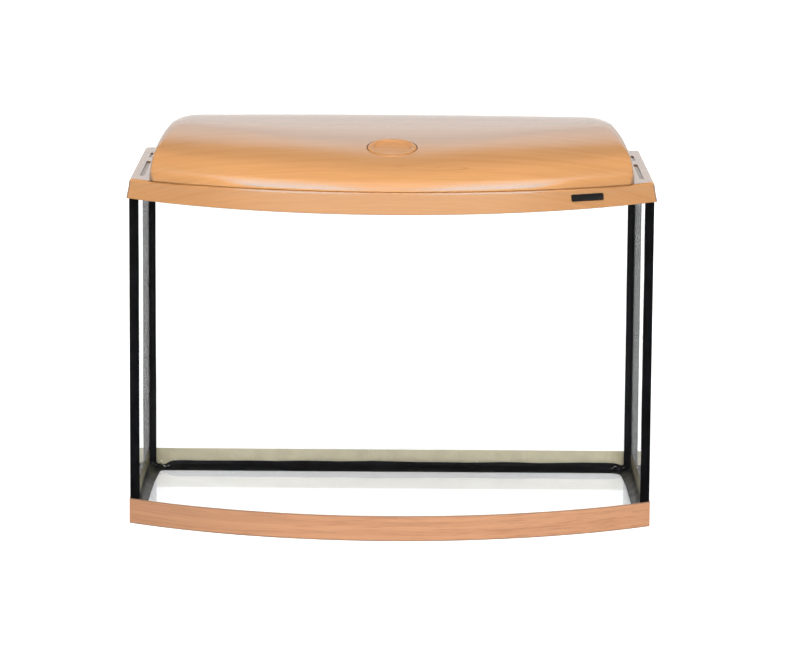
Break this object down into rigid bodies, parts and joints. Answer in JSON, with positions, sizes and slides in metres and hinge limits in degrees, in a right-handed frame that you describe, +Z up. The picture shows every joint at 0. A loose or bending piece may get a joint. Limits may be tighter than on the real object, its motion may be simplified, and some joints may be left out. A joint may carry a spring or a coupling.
{
  "type": "bow-front aquarium with lid",
  "caption": "Bow-front glass aquarium with black silicone seams, a beech-look trim strip round the foot and a beech-look domed lid with a feeding hatch.",
  "frame": {"origin": "middle of the straight-sided footprint on the resting plane, half-way between the front glass corners and the back of the glass", "axes": "+X to the viewer's right along the length, +Y from the bowed front to the back, +Z up"},
  "size_m": [0.6064, 0.4094, 0.456],
  "materials": {
    "clear_glass": "gloss",
    "white_sheet": "matte",
    "black_silicone": "gloss",
    "pale_beech_strip": "satin",
    "beech_print_plastic": "gloss",
    "badge_plastic": "gloss",
    "tube_glass": "gloss",
    "pin_metal": "satin",
    "grey_plastic": "matte",
    "soft_rubber": "matte",
    "screw_steel": "satin",
    "case_plastic": "matte",
    "ballast_tin": "satin",
    "terminal_nylon": "satin",
    "cord_rubber": "matte",
    "tie_plastic": "matte",
    "lead_sleeve": "satin"
  },
  "bodies": {
    "tank": {"base_sheet": "white_sheet", "base_glass": "clear_glass", "front_glass": "clear_glass", "back_glass": "clear_glass", "left_glass": "clear_glass", "right_glass": "clear_glass", "trim_front": "pale_beech_strip", "trim_back": "pale_beech_strip", "trim_left": "pale_beech_strip", "trim_right": "pale_beech_strip", "seal_front_left": "black_silicone", "seal_front_right": "black_silicone", "seal_back_left": "black_silicone", "seal_back_right": "black_silicone", "seal_base_front": "black_silicone", "seal_base_back": "black_silicone", "seal_base_left": "black_silicone", "seal_base_right": "black_silicone"},
    "lid": {"lid_shell": "beech_print_plastic", "badge": "badge_plastic", "lampholder_left": "grey_plastic", "lampholder_right": "grey_plastic", "lamp_seals": "soft_rubber", "holder_screws": "screw_steel", "gear_case": "case_plastic", "gear_cover": "grey_plastic", "gear_screws": "screw_steel", "ballast": "ballast_tin", "terminal_block": "terminal_nylon", "cord_gland": "soft_rubber", "mains_cord": "cord_rubber", "cord_tie": "tie_plastic", "plug_body": "cord_rubber", "plug_pins": "pin_metal", "lamp_lead_left": "lead_sleeve", "lamp_lead_right": "lead_sleeve"},
    "hatch": {"feeding_plug": "beech_print_plastic"},
    "lamp": {"lamp_tube": "tube_glass", "tube_caps": "pin_metal"}
  },
  "joints": [
    {"name": "lid_lift", "type": "slide", "parent": "tank", "child": "lid", "axis": [0, 0, 1], "range_m": [0, 0.15]},
    {"name": "hatch_lift", "type": "slide", "parent": "lid", "child": "hatch", "axis": [0, -0.23, 0.9732], "range_m": [0, 0.05]},
    {"name": "lamp_turn", "type": "hinge", "parent": "lid", "child": "lamp", "pos_m": [0, -0.02, 0.424], "axis": [1, 0, 0], "range_deg": [0, 90]}
  ]
}
